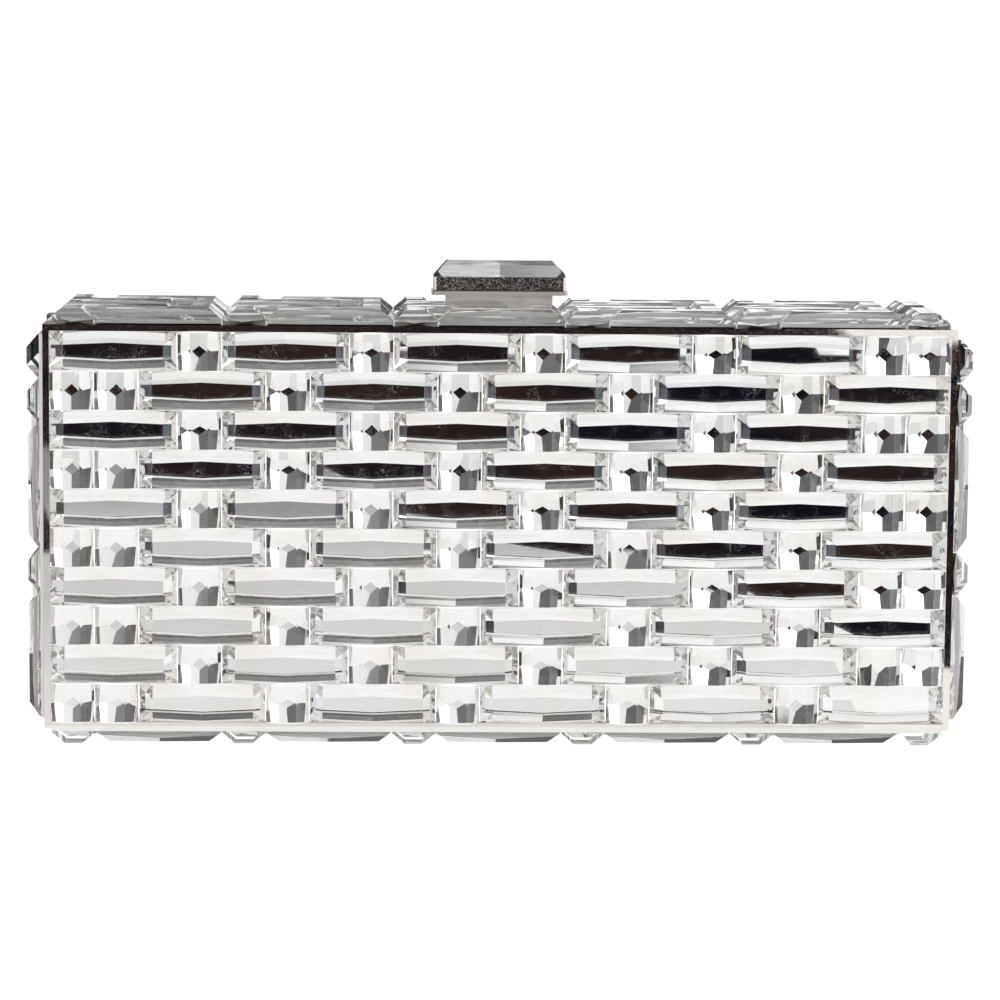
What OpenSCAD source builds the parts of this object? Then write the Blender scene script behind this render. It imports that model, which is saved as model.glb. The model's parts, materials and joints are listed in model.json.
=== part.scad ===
// Minaudiere: a hard box clutch of two metal shells, hinged along the base and
// covered on every side with rows of long and short cut crystals. A crystal bar
// on top slides along the seam and works the latch. Millimetres, +Z up, the
// seam between the shells in the plane y = 0, the front face towards -Y and the
// tables of the base crystals, on which it stands, in the plane z = 0.

/* [Crystals] */
// Length of a long crystal
long_l = 25.4; // [20:0.1:32]
// Length of a short crystal
short_l = 8.7; // [6:0.1:12]
// Width of every crystal across its row
stone_w = 7.74; // [6.5:0.02:10]
// Gap between neighbouring crystals
stone_gap = 0.2; // [0.1:0.05:0.5]
// Height of the straight girdle of a crystal
girdle_h = 1.1; // [0.7:0.1:1.2]
// Height of the cut crown above the girdle
crown_h = 2.2; // [1.8:0.1:3]
// Inset of the table at the ends of a crystal
end_bevel = 2.6; // [1:0.1:3.5]
// Inset of the table along the sides of a crystal
side_bevel = 2; // [1.5:0.1:3]
// Angle by which a long crystal's two side facets meet at its middle
long_bow = 2.6; // [0.5:0.1:3]
// Angle by which a short crystal's two side facets meet at its middle
short_bow = 6; // [0.5:0.5:9]

/* [Pattern] */
// Rows of crystals on the front and on the back face
face_rows = 10; // [8:1:13]
// Long crystals in each row along the case
row_long_count = 5; // [3:1:7]
// Rows of crystals on the edge of each shell
edge_rows = 2; // [2:1:3]

/* [Shells] */
// Sheet thickness of the shells
wall_t = 0.8; // [0.6:0.1:1.2]
// Width of the rim that frames each face
rim_t = 1.3; // [1:0.1:2]
// Depth of the bed behind the rim, in which the face crystals sit
bed_depth = 0.9; // [0.5:0.1:1.5]
// Thickness of the padded lining
lining_t = 0.8; // [0.5:0.1:1.5]

/* [Mouth frames] */
// Width of each mouth frame along the depth of the case
mouth_w = 2.9; // [2.7:0.1:4]
// Gap between the two closed mouth frames
seam_gap = 0.3; // [0.2:0.05:0.5]
// How far a mouth frame stands out of the shell wall
frame_proud = 0.6; // [0.6:0.1:0.9]
// How far a mouth frame reaches in from the outside of the shell
frame_in = 4.2; // [3.8:0.1:5]

/* [Hinge] */
// Length of the hinge along the base
hinge_l = 150; // [100:1:165]
// Number of knuckles, the outer two on the back leaf
knuckle_count = 11; // [5:2:15]
// Radius of the knuckles
knuckle_r = 1.5; // [1.3:0.05:1.55]
// Height of the knuckles above the standing plane
knuckle_lift = 0.4; // [0.3:0.05:0.5]
// Radius of the hinge pin
pin_r = 0.8; // [0.6:0.05:1]
// Radial running clearance round the hinge pin
pin_clear = 0.05; // [0.02:0.01:0.1]
// Gap between neighbouring knuckles
knuckle_gap = 0.3; // [0.2:0.05:0.6]
// Thickness of the hinge leaves
leaf_t = 0.5; // [0.4:0.05:0.8]

/* [Clasp] */
// Length of the crystal bar and of its bezel
clasp_l = 27; // [25:0.5:34]
// Width of the crystal bar and of its bezel
clasp_w = 9.6; // [8:0.1:12]
// Height of the bezel
bezel_h = 2.7; // [2.6:0.1:4]
// Corner radius of the bezel
bezel_r = 0.5; // [0.4:0.1:2]
// Wall of the bezel round the seat of the crystal bar
bezel_wall = 0.6; // [0.4:0.1:1]
// Depth of the seat of the crystal bar
seat_depth = 0.6; // [0.4:0.1:1]
// Web of the bezel under the seat
bezel_web = 1.2; // [0.8:0.1:1.5]
// Height of the crystal bar's crown
bar_crown_h = 3; // [2:0.1:4]
// Inset of the bar's table at its ends
bar_end_bevel = 2.8; // [1.5:0.1:4]
// Inset of the bar's table along its sides
bar_side_bevel = 2.6; // [1.5:0.1:3.5]
// Straight girdle of the crystal bar
bar_girdle_h = 0.3; // [0.3:0.1:1]
// Thickness of the fixed base plate under the bezel
base_t = 0.8; // [0.5:0.1:1.2]
// How far the base plate shows round the bezel
base_over = 0.4; // [0.2:0.1:1]
// Clearance of the base plate over the crystals beside it
base_lift = 2; // [0.5:0.1:2]
// Length of the neck that carries the base plate
neck_l = 22; // [20:0.5:25]
// Sliding travel of the clasp
travel = 5; // [3:0.5:6]

/* [Latch] */
// Length of each post that joins the bezel to the slider
post_l = 2.4; // [1.5:0.1:3]
// Thickness of each post
post_t = 1.1; // [0.8:0.05:1.2]
// Distance between the two posts
post_spacing = 9; // [8:0.5:10]
// Thickness of the latch slider
slider_t = 1.2; // [0.8:0.1:1.4]
// Width of the latch slider
slider_w = 7.5; // [7:0.1:9]
// Rim of the slider beyond its windows
slider_edge = 1.2; // [1:0.1:2]
// Distance of each keeper hook from the middle
hook_x = 10.5; // [10.5:0.1:12]
// Width of each keeper hook
hook_w = 3; // [2:0.1:3]
// Thickness of each keeper hook
hook_t = 1; // [0.7:0.1:1.2]
// Distance from the seam to the far side of the hooks
hook_reach = 4.6; // [4.5:0.1:5]
// Thickness of the keeper plate
keeper_t = 1; // [0.7:0.1:1.2]
// Length of the keeper plate
keeper_l = 25; // [25:0.5:30]
// Sheet thickness of the latch housing
housing_t = 0.8; // [0.5:0.1:1]
// Length of the room for the return spring
spring_l = 12; // [10:0.5:14]
// Radius of the spring's coils, to the middle of the wire
coil_r = 1.1; // [0.9:0.05:1.15]
// Radius of the spring's wire
wire_r = 0.2; // [0.15:0.05:0.25]
// Turns of the spring
coil_turns = 10; // [6:1:12]
// Length of each fixing tab of the housing
tab_l = 5; // [4:0.5:6]
// Radius of the screw shanks
screw_r = 0.6; // [0.4:0.05:0.7]
// Radius of the screw heads
head_r = 1.05; // [0.9:0.05:1.1]
// Height of the screw heads
head_h = 0.6; // [0.4:0.1:0.8]
// Depth of the screws in the mouth frames
screw_depth = 2.2; // [1.5:0.1:3]
// Distance of each keeper screw from the middle
keeper_screw_x = 6; // [5:0.5:8]

/* [Hidden] */
// Running clearance between parts that slide on each other
slide_clear = 0.2;
// Clearance round parts that swing or pass each other
swing_clear = 0.3;
// Clearance round a screw shank in its hole
screw_clear = 0.05;
// Overrun of every cut
over = 1;
// Facets of the round parts
round_fn = 48;

long_pitch = long_l + stone_gap;
short_pitch = short_l + stone_gap;
row_pitch = stone_w + stone_gap;
stone_h = girdle_h + crown_h;
case_w = 2 * rim_t + (row_long_count + 1) * short_pitch + row_long_count * long_pitch;
case_h = 2 * rim_t + face_rows * row_pitch;
side_long_count = floor((case_h - short_pitch) / (long_pitch + short_pitch));
shell_d = rim_t + edge_rows * row_pitch + mouth_w;
case_z = stone_h;
mid_z = case_z + case_h / 2;
top_z = case_z + case_h;
bed_y = shell_d - bed_depth;
floor_y = bed_y - wall_t;

seam_y = seam_gap / 2;
frame_top = top_z + frame_proud;
frame_under = top_z - frame_in;
hinge_z = knuckle_lift + knuckle_r;
groove_r = knuckle_r + swing_clear;
leaf_top = case_z + frame_in - slide_clear;
knuckle_pitch = hinge_l / knuckle_count;

post_y = (seam_y + mouth_w) / 2;
slot_w = post_t + 2 * slide_clear;
slot_l = post_spacing + post_l + travel + 2 * slide_clear;
base_z = top_z + stone_h + base_lift;
bezel_z = base_z + base_t + slide_clear;
bar_z = bezel_z + bezel_h;

slider_z = frame_under - slide_clear - slider_t;
slider_y = seam_y + swing_clear;
window_x = hook_w / 2 + swing_clear;
slider_left = -hook_x - window_x - travel - slider_edge;
slider_right = hook_x + window_x + slider_edge;
hook_top = slider_z + slider_t - slide_clear;
keeper_z = slider_z - swing_clear - keeper_t;
housing_z = keeper_z - swing_clear;
housing_left = slider_left - swing_clear;
housing_right = slider_right + spring_l;
housing_y = slider_y + slider_w + swing_clear;
coil_z = (housing_z + frame_under) / 2;
coil_y = slider_y + slider_w * 3 / 5;

// A row is a list of kinds, 1 for a long crystal and 0 for a short one.
function alternating(n) = [for (i = [0:2 * n]) i % 2];
function long_first(n) = [for (i = [0:2 * n]) i < 2 * n ? 1 - i % 2 : 0];
function long_last(n) = [for (i = [0:2 * n]) i == 0 ? 0 : 1 - i % 2 == 1 ? 1 : 0];
function pitch(kind) = kind == 1 ? long_pitch : short_pitch;
function start(kinds, i) = i == 0 ? 0 : start(kinds, i - 1) + pitch(kinds[i - 1]);

// One cut crystal, its flat back on z = 0 and its table up. Each long side has
// two crown facets, which meet at the middle and make the table widest there.
module crown_profile(foot, straight, crown, table) {
    polygon([
        [-foot, 0],
        [foot, 0],
        [foot, straight],
        [table, straight + crown],
        [-table, straight + crown],
        [-foot, straight]
    ]);
}

module side_facets(l, w, straight, crown, sides) {
    table = w / 2 - sides;
    foot = w / 2 + straight * sides / crown;
    translate([-l, 0, 0])
        rotate([90, 0, 90])
            linear_extrude(2 * l)
                crown_profile(foot, 0, straight + crown, table);
}

module cut_crystal(l, w, straight, crown, ends, sides, bow) {
    intersection() {
        translate([0, w / 2, 0])
            rotate([90, 0, 0])
                linear_extrude(w)
                    crown_profile(l / 2, straight, crown, l / 2 - ends);
        rotate(bow)
            side_facets(l, w, straight, crown, sides);
        rotate(-bow)
            side_facets(l, w, straight, crown, sides);
    }
}

// The crystals of one kind in a row along X, centred.
module stone_row(kinds, kind) {
    row_l = start(kinds, len(kinds));
    for (i = [0:len(kinds) - 1]) {
        if (kinds[i] == kind) {
            translate([start(kinds, i) + pitch(kind) / 2 - row_l / 2, 0, 0])
                cut_crystal(
                    pitch(kind) - stone_gap, stone_w, girdle_h, crown_h, end_bevel, side_bevel,
                    kind == 1 ? long_bow : short_bow
                );
        }
    }
}

// Rows on the face, shifted against each other like bricks.
module face_stones(kind) {
    for (r = [0:face_rows - 1]) {
        kinds = r % 2 == 0 ? long_first(row_long_count) : long_last(row_long_count);
        translate([0, -bed_y, top_z - rim_t - (r + 1 / 2) * row_pitch])
            rotate([90, 0, 0])
                stone_row(kinds, kind);
    }
}

// How far row r of the edges lies in front of the seam.
function edge_y(r) = shell_d - rim_t - (r + 1 / 2) * row_pitch;
function along(r, n) = r % 2 == 0 ? alternating(n) : long_first(n);
function upright(r, n) = r % 2 == 0 ? long_last(n) : alternating(n);

module top_stones(kind) {
    for (r = [0:edge_rows - 1]) {
        translate([0, -edge_y(r), top_z])
            stone_row(along(r, row_long_count), kind);
    }
}

module base_stones(kind) {
    for (r = [0:edge_rows - 1]) {
        translate([0, -edge_y(r), case_z])
            mirror([0, 0, 1])
                stone_row(along(r, row_long_count), kind);
    }
}

module right_stones(kind) {
    for (r = [0:edge_rows - 1]) {
        translate([case_w / 2, -edge_y(r), mid_z])
            rotate([0, 90, 0])
                stone_row(upright(r, side_long_count), kind);
    }
}

module left_stones(kind) {
    mirror([1, 0, 0])
        right_stones(kind);
}

module back_half() {
    mirror([0, 1, 0])
        children();
}

// A slab centred on x = 0 and on the middle height of the case, from y0 to y1.
module slab(y0, y1, inset) {
    translate([inset - case_w / 2, y0, case_z + inset])
        cube([case_w - 2 * inset, y1 - y0, case_h - 2 * inset]);
}

// The front shell: a pan with the rim and the bed for the face crystals.
module shell() {
    difference() {
        slab(-shell_d, -mouth_w, 0);
        slab(-shell_d - over, -bed_y, rim_t);
        slab(-floor_y, -mouth_w + over, wall_t);
    }
}

module lining() {
    difference() {
        slab(-floor_y, -mouth_w, wall_t);
        slab(-floor_y + lining_t, -mouth_w + over, wall_t + lining_t);
    }
}

// The front mouth frame, cut back round the hinge and recessed for its leaf.
module mouth_frame() {
    difference() {
        slab(-mouth_w, -seam_y, -frame_proud);
        slab(-mouth_w - over, -seam_y + over, frame_in);
        translate([-hinge_l / 2 - slide_clear, 0, hinge_z])
            rotate([0, 90, 0])
                cylinder(r = groove_r, h = hinge_l + 2 * slide_clear, $fn = round_fn);
        translate([-hinge_l / 2 - slide_clear, -seam_y - leaf_t, hinge_z])
            cube([hinge_l + 2 * slide_clear, leaf_t + over, leaf_top + slide_clear / 2 - hinge_z]);
    }
}

// The slot through which the posts reach the slider, between two heights.
module post_slot(z0, z1) {
    translate([-slot_l / 2, post_y - slot_w / 2, z0])
        cube([slot_l, slot_w, z1 - z0]);
}

module screw_hole(x, y, z0, z1) {
    translate([x, y, z0])
        cylinder(r = screw_r + screw_clear, h = z1 - z0, $fn = round_fn);
}

function tab_xs() = [housing_left - housing_t - tab_l / 2, housing_right + housing_t + tab_l / 2];

module front_mouth_frame() {
    color("silver")
    difference() {
        mouth_frame();
        for (x = [-keeper_screw_x, keeper_screw_x]) {
            screw_hole(x, -post_y, frame_under - over, frame_under + screw_depth + screw_clear);
        }
    }
}

module back_mouth_frame() {
    color("silver")
    difference() {
        back_half()
            mouth_frame();
        post_slot(frame_under - over, frame_top + over);
        for (x = tab_xs()) {
            screw_hole(x, post_y, frame_under - over, frame_under + screw_depth + screw_clear);
        }
    }
}

// One hinge leaf on the back side of the seam, with every second knuckle.
module hinge_leaf(first) {
    plate_z = hinge_z + groove_r;
    difference() {
        union() {
            translate([-hinge_l / 2, seam_y, plate_z])
                cube([hinge_l, leaf_t, leaf_top - plate_z]);
            for (i = [first:2:knuckle_count - 1]) {
                translate([(i - knuckle_count / 2) * knuckle_pitch + knuckle_gap / 2, 0, hinge_z]) {
                    rotate([0, 90, 0])
                        cylinder(r = knuckle_r, h = knuckle_pitch - knuckle_gap, $fn = round_fn);
                    translate([0, seam_y, 0])
                        cube([knuckle_pitch - knuckle_gap, leaf_t, groove_r + leaf_t]);
                }
            }
        }
        translate([-hinge_l / 2 - over, 0, hinge_z])
            rotate([0, 90, 0])
                cylinder(r = pin_r + pin_clear, h = hinge_l + 2 * over, $fn = round_fn);
    }
}

module back_hinge_leaf() {
    color("lightgray")
    hinge_leaf(0);
}

module front_hinge_leaf() {
    color("lightgray")
    mirror([0, 1, 0])
        hinge_leaf(1);
}

module hinge_pin() {
    color("gray")
    translate([-hinge_l / 2, 0, hinge_z])
        rotate([0, 90, 0])
            cylinder(r = pin_r, h = hinge_l, $fn = round_fn);
}

// A plate with round upright edges, centred on x = 0 and y = 0.
module rounded_plate(l, w, h, r) {
    union() {
        translate([r - l / 2, -w / 2, 0])
            cube([l - 2 * r, w, h]);
        translate([-l / 2, r - w / 2, 0])
            cube([l, w - 2 * r, h]);
        for (x = [r - l / 2, l / 2 - r]) {
            for (y = [r - w / 2, w / 2 - r]) {
                translate([x, y, 0])
                    cylinder(r = r, h = h, $fn = round_fn);
            }
        }
    }
}

// The fixed base plate of the clasp and the neck that carries it.
module clasp_base() {
    color("gainsboro")
    difference() {
        union() {
            translate([0, 0, base_z])
                rounded_plate(clasp_l + 2 * base_over, clasp_w, base_t, bezel_r);
            translate([-neck_l / 2, seam_y, frame_top])
                cube([neck_l, mouth_w - seam_y, base_z - frame_top + base_t / 2]);
        }
        post_slot(frame_top - over, base_z + base_t + over);
    }
}

module clasp_bezel() {
    color("dimgray")
    difference() {
        translate([0, 0, bezel_z])
            rounded_plate(clasp_l, clasp_w, bezel_h, bezel_r);
        translate([bezel_wall - clasp_l / 2, bezel_wall - clasp_w / 2, bar_z - seat_depth])
            cube([clasp_l - 2 * bezel_wall, clasp_w - 2 * bezel_wall, seat_depth + over]);
        translate([bezel_web - clasp_l / 2, bezel_web - clasp_w / 2, bezel_z - over])
            cube([clasp_l - 2 * bezel_web, clasp_w - 2 * bezel_web, bezel_h - seat_depth - bezel_web + over]);
    }
}

// The crystal bar: a seat sunk in the bezel under a cut crown as wide as it.
module clasp_crystal() {
    color("whitesmoke")
    union() {
        translate([bezel_wall - clasp_l / 2, bezel_wall - clasp_w / 2, bar_z - seat_depth])
            cube([clasp_l - 2 * bezel_wall, clasp_w - 2 * bezel_wall, seat_depth + bar_girdle_h / 2]);
        translate([0, 0, bar_z])
            cut_crystal(clasp_l, clasp_w, bar_girdle_h, bar_crown_h, bar_end_bevel, bar_side_bevel, 0);
    }
}

module clasp_posts() {
    post_z = slider_z + slider_t;
    web_z = bar_z - seat_depth - bezel_web;
    color("silver")
    for (x = [-travel / 2 - post_spacing / 2, -travel / 2 + post_spacing / 2]) {
        translate([x - post_l / 2, post_y - post_t / 2, post_z])
            cube([post_l, post_t, web_z - post_z]);
    }
}

// The slider: behind each window a hook is held, and beside it the way out is open.
module latch_slider() {
    window_y = hook_reach - hook_t - swing_clear;
    color("silver")
    difference() {
        translate([slider_left, slider_y, slider_z])
            cube([slider_right - slider_left, slider_w, slider_t]);
        for (x = [-hook_x, hook_x]) {
            translate([x - window_x - travel, window_y, slider_z - over])
                cube([2 * window_x + travel, hook_t + 2 * swing_clear, slider_t + 2 * over]);
            translate([x - window_x - travel, slider_y - over, slider_z - over])
                cube([2 * window_x, window_y - slider_y + over + swing_clear, slider_t + 2 * over]);
        }
    }
}

// The keeper on the front frame: block, tongue and two upright hooks.
module keeper_plate() {
    color("silver")
    difference() {
        union() {
            translate([-keeper_l / 2, -mouth_w, keeper_z])
                cube([keeper_l, mouth_w + hook_reach, keeper_t]);
            translate([-keeper_l / 2, -mouth_w, keeper_z])
                cube([keeper_l, mouth_w - slider_y, frame_under - keeper_z]);
            for (x = [-hook_x, hook_x]) {
                translate([x - hook_w / 2, hook_reach - hook_t, keeper_z])
                    cube([hook_w, hook_t, hook_top - keeper_z]);
            }
        }
        for (x = [-keeper_screw_x, keeper_screw_x]) {
            screw_hole(x, -post_y, keeper_z - over, frame_under + over);
        }
    }
}

// A screw from below: its head hangs under z and its shank ends at tip_z.
module screw(x, y, z, tip_z) {
    translate([x, y, z - head_h])
        cylinder(r = head_r, h = head_h, $fn = round_fn);
    translate([x, y, z - head_h / 2])
        cylinder(r = screw_r, h = tip_z - z + head_h / 2, $fn = round_fn);
}

module keeper_screws() {
    color("gray")
    for (x = [-keeper_screw_x, keeper_screw_x]) {
        screw(x, -post_y, keeper_z, frame_under + screw_depth);
    }
}

module housing_screws() {
    color("gray")
    for (x = tab_xs()) {
        screw(x, post_y, frame_under - housing_t, frame_under + screw_depth);
    }
}

// The latch housing: a tray open towards the seam, with a tab at each end.
module latch_housing() {
    left = housing_left - housing_t;
    right = housing_right + housing_t;
    low = housing_z - housing_t;
    color("lightsteelblue")
    difference() {
        union() {
            translate([left, slider_y, low])
                cube([right - left, housing_y + housing_t - slider_y, frame_under - low]);
            translate([left, mouth_w, frame_under - housing_t])
                cube([right - left, housing_y + housing_t - mouth_w, 2 * housing_t]);
            translate([left - tab_l, slider_y, frame_under - housing_t])
                cube([right - left + 2 * tab_l, mouth_w - slider_y, housing_t]);
        }
        translate([housing_left, slider_y - over, housing_z])
            cube([housing_right - housing_left, housing_y - slider_y + over, frame_under - housing_z]);
        for (x = tab_xs()) {
            screw_hole(x, post_y, frame_under - housing_t - over, frame_under + over);
        }
    }
}

// The return spring: one wire wound round a line along X.
coil_sides = 6;
coil_steps = 8;
coil_rings = coil_turns * coil_steps;
coil_run = spring_l - 2 * wire_r;
coil_rise = coil_run / coil_turns / 360 * 180 / PI;

function coil_turn(k) = 360 * k / coil_steps;
function coil_out(k) = [0, cos(coil_turn(k)), sin(coil_turn(k))];
function coil_way(k) = [coil_rise, -coil_r * sin(coil_turn(k)), coil_r * cos(coil_turn(k))];
function coil_side(k) = cross(coil_way(k), coil_out(k)) / norm(coil_way(k));
function coil_middle(k) =
    [slider_right + wire_r + coil_run * k / coil_rings, coil_y, coil_z] + coil_r * coil_out(k);
function coil_point(k, j) =
    coil_middle(k)
    + wire_r * (cos(360 * j / coil_sides) * coil_out(k) + sin(360 * j / coil_sides) * coil_side(k));

function ring_at(k, j) = k * coil_sides + j % coil_sides;

module latch_spring() {
    color("darkgray")
    polyhedron(
        points = [for (k = [0:coil_rings]) for (j = [0:coil_sides - 1]) coil_point(k, j)],
        faces = concat(
            [for (k = [0:coil_rings - 1]) for (j = [0:coil_sides - 1])
                [ring_at(k, j), ring_at(k, j + 1), ring_at(k + 1, j)]],
            [for (k = [0:coil_rings - 1]) for (j = [0:coil_sides - 1])
                [ring_at(k, j + 1), ring_at(k + 1, j + 1), ring_at(k + 1, j)]],
            [for (j = [1:coil_sides - 2]) [ring_at(0, 0), ring_at(0, j + 1), ring_at(0, j)]],
            [for (j = [1:coil_sides - 2])
                [ring_at(coil_rings, 0), ring_at(coil_rings, j), ring_at(coil_rings, j + 1)]]
        )
    );
}

module front_shell() {
    color("silver")
    shell();
}

module back_shell() {
    color("silver")
    back_half()
        shell();
}

module front_lining() {
    color("slategray")
    lining();
}

module back_lining() {
    color("slategray")
    back_half()
        lining();
}

module crystal_white() {
    color("aliceblue")
        children();
}

module front_face_long_crystals() crystal_white() face_stones(1);
module front_face_short_crystals() crystal_white() face_stones(0);
module front_top_long_crystals() crystal_white() top_stones(1);
module front_top_short_crystals() crystal_white() top_stones(0);
module front_base_long_crystals() crystal_white() base_stones(1);
module front_base_short_crystals() crystal_white() base_stones(0);
module front_left_long_crystals() crystal_white() left_stones(1);
module front_left_short_crystals() crystal_white() left_stones(0);
module front_right_long_crystals() crystal_white() right_stones(1);
module front_right_short_crystals() crystal_white() right_stones(0);
module back_face_long_crystals() crystal_white() back_half() face_stones(1);
module back_face_short_crystals() crystal_white() back_half() face_stones(0);
module back_top_long_crystals() crystal_white() back_half() top_stones(1);
module back_top_short_crystals() crystal_white() back_half() top_stones(0);
module back_base_long_crystals() crystal_white() back_half() base_stones(1);
module back_base_short_crystals() crystal_white() back_half() base_stones(0);
module back_left_long_crystals() crystal_white() back_half() left_stones(1);
module back_left_short_crystals() crystal_white() back_half() left_stones(0);
module back_right_long_crystals() crystal_white() back_half() right_stones(1);
module back_right_short_crystals() crystal_white() back_half() right_stones(0);

back_shell();
back_mouth_frame();
back_lining();
back_face_long_crystals();
back_face_short_crystals();
back_top_long_crystals();
back_top_short_crystals();
back_base_long_crystals();
back_base_short_crystals();
back_left_long_crystals();
back_left_short_crystals();
back_right_long_crystals();
back_right_short_crystals();
back_hinge_leaf();
hinge_pin();
clasp_base();
latch_housing();
latch_spring();
housing_screws();
front_shell();
front_mouth_frame();
front_lining();
front_face_long_crystals();
front_face_short_crystals();
front_top_long_crystals();
front_top_short_crystals();
front_base_long_crystals();
front_base_short_crystals();
front_left_long_crystals();
front_left_short_crystals();
front_right_long_crystals();
front_right_short_crystals();
front_hinge_leaf();
keeper_plate();
keeper_screws();
clasp_bezel();
clasp_crystal();
clasp_posts();
latch_slider();
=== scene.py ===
"""Minaudiere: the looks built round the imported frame, as an add-on of one panel."""

import json
import math
import random

import bpy
from bpy.props import FloatProperty, FloatVectorProperty, IntProperty, PointerProperty
from mathutils import Matrix, Vector


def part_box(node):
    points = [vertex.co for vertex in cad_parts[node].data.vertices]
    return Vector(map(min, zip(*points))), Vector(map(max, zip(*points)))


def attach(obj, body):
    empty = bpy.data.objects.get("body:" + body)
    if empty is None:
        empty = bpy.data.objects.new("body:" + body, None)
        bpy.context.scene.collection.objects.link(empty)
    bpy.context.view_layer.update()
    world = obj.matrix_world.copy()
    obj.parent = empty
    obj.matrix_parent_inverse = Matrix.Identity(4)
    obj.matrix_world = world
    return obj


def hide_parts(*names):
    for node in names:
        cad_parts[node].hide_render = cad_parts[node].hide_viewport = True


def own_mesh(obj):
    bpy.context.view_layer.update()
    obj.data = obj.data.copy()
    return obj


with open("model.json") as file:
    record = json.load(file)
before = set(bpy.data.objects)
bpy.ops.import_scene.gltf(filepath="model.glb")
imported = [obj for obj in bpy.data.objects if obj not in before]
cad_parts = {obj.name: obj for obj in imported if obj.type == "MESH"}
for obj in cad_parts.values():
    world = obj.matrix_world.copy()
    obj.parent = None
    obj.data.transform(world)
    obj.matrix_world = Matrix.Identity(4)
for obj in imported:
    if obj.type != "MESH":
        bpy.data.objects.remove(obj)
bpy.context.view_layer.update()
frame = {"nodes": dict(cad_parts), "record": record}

bl_info = {
    "name": "Crystal minaudiere",
    "version": (1, 0, 0),
    "blender": (4, 5, 0),
    "location": "3D View > Sidebar > Minaudiere",
    "description": "Cut crystals, polished metal, satin lining and a pale studio for a hard box clutch",
    "category": "Object",
}

MM = 0.001
SEED = 7
# Points closer than this are one point, and faces closer in angle than this are one facet.
TOUCH = 1e-6
FACET_ANGLE = math.radians(0.2)

# Lining, in millimetres
LINING_SLACK = 0.02
LINING_WALL = 0.9
LINING_FLOOR = 0.4
LINING_MESH = 3.0
PAD_RISE = 1.1
PAD_REACH = 9
PAD_DEPTH = 2.2
PUCKER_RISE = 0.25
PUCKER_REACH = 7

# Foiled facets. A facet faces the way turn points, leans by slope and starts at reach from the middle, in metres.
# Under a long crystal: two that start END_FOIL short of its ends, and four along its sides.
END_FOIL = 0.0007
SIDE_FOIL = 0.00175
SIDE_TURNS = (87, 93, 267, 273)
# Under a short crystal, in two cuts: (turn in degrees, share of the slope, reach)
SHORT_FOIL = (
    ((52, 1.0, 0.0009), (128, 1.0, 0.0009), (225, 0.6, 0.001), (312, 1.0, 0.0009)),
    ((60, 1.0, 0.0008), (118, 1.1, 0.0007), (238, 1.0, 0.0009), (302, 0.9, 0.0007), (180, 0.9, 0.0015)),
)
# Crown. The kite at each corner of a long crystal: how far it runs along and across the table
KITE = (0.0013, 0.0007)
# Half the width of the diamond-shaped table of a short crystal
DIAMOND = 0.001

# Share of the girdle's height up to which cement fills a joint
JOINT_FILL = 0.7
# A facet whose normal rises or falls by more than this belongs to the crown or to the foil.
FACING = 0.1

# Crystal bar, in metres
BAR_GIRDLE = 0.0003
BAR_END_INSET = 0.0028
BAR_SIDE_INSET = 0.0026
BAR_SEAT = 0.00003
BAR_BOW = 0.05

# Camera: where it stands in metres, its yaw, pitch and roll in degrees, its lens and sensor in millimetres
CAMERA_PLACE = (-0.0256, -0.7693, 0.1445)
CAMERA_ANGLES = (-1.948, -7.159, 0.53)
CAMERA_LENS = 134.77
CAMERA_SENSOR = 36

# Cards on the floor, seen only in reflections: their corners as (x, distance in front of the face) in millimetres,
# how far they lie above the floor in millimetres, and the two colours between which they vary
DARK = ((0.006, 0.006, 0.011), (0.03, 0.018, 0.015))
DIM = ((0.04, 0.045, 0.065), (0.1, 0.11, 0.13))
CARDS = {
    "dark_card": (
        [
            (170, 150), (112, 230), (100, 284), (82, 355), (63, 439), (-17, 539), (-51, 655), (-158, 720),
            (-330, 760), (-330, 3000), (232, 3000), (235, 1270), (208, 1240), (200, 1130), (255, 1110),
            (268, 1250), (330, 1250), (310, 900), (250, 150),
        ],
        1.0,
        *DARK,
    ),
    "grey_card": (
        [
            (-175, 725), (-158, 720), (-51, 655), (-17, 539), (63, 439), (82, 355), (100, 284), (92, 128),
            (-175, 128),
        ],
        0.8,
        (0.32, 0.32, 0.33),
        (0.92, 0.93, 0.94),
    ),
    "strip_card": (
        [(-123, 420), (-143, 560), (-160, 730), (-185, 730), (-165, 560), (-140, 420)],
        1.2,
        (0.012, 0.01, 0.01),
        (0.04, 0.03, 0.025),
    ),
    "back_card": (
        [(-300, -330), (-150, -330), (-20, -450), (60, -600), (330, -760), (500, -3000), (-500, -3000)],
        1.0,
        *DARK,
    ),
    "shade_card": (
        [(-105, -2), (105, -2), (105, -75), (-105, -75)],
        0.7,
        (0.22, 0.25, 0.23),
        (0.42, 0.45, 0.42),
    ),
    "right_card": ([(150, 330), (190, 500), (330, 1230), (900, 1230), (900, 330)], 0.6, *DIM),
    "left_card": ([(-160, 420), (-215, 1230), (-900, 1230), (-900, 420)], 0.6, *DIM),
}
# The grey card grows paler towards the case, over these two stretches of y in millimetres
FAR_FADE = (-600, -440)
NEAR_FADE = (-400, -150)

# Light of the studio, by the height of a direction (0 level, 1 straight up)
HORIZON = (0.035, 0.045)
BAND_TOP = (0.19, 0.21)
CEILING = (0.63, 0.8)
BOUNCES = 24


# Sizes and colours that a user would change


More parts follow.
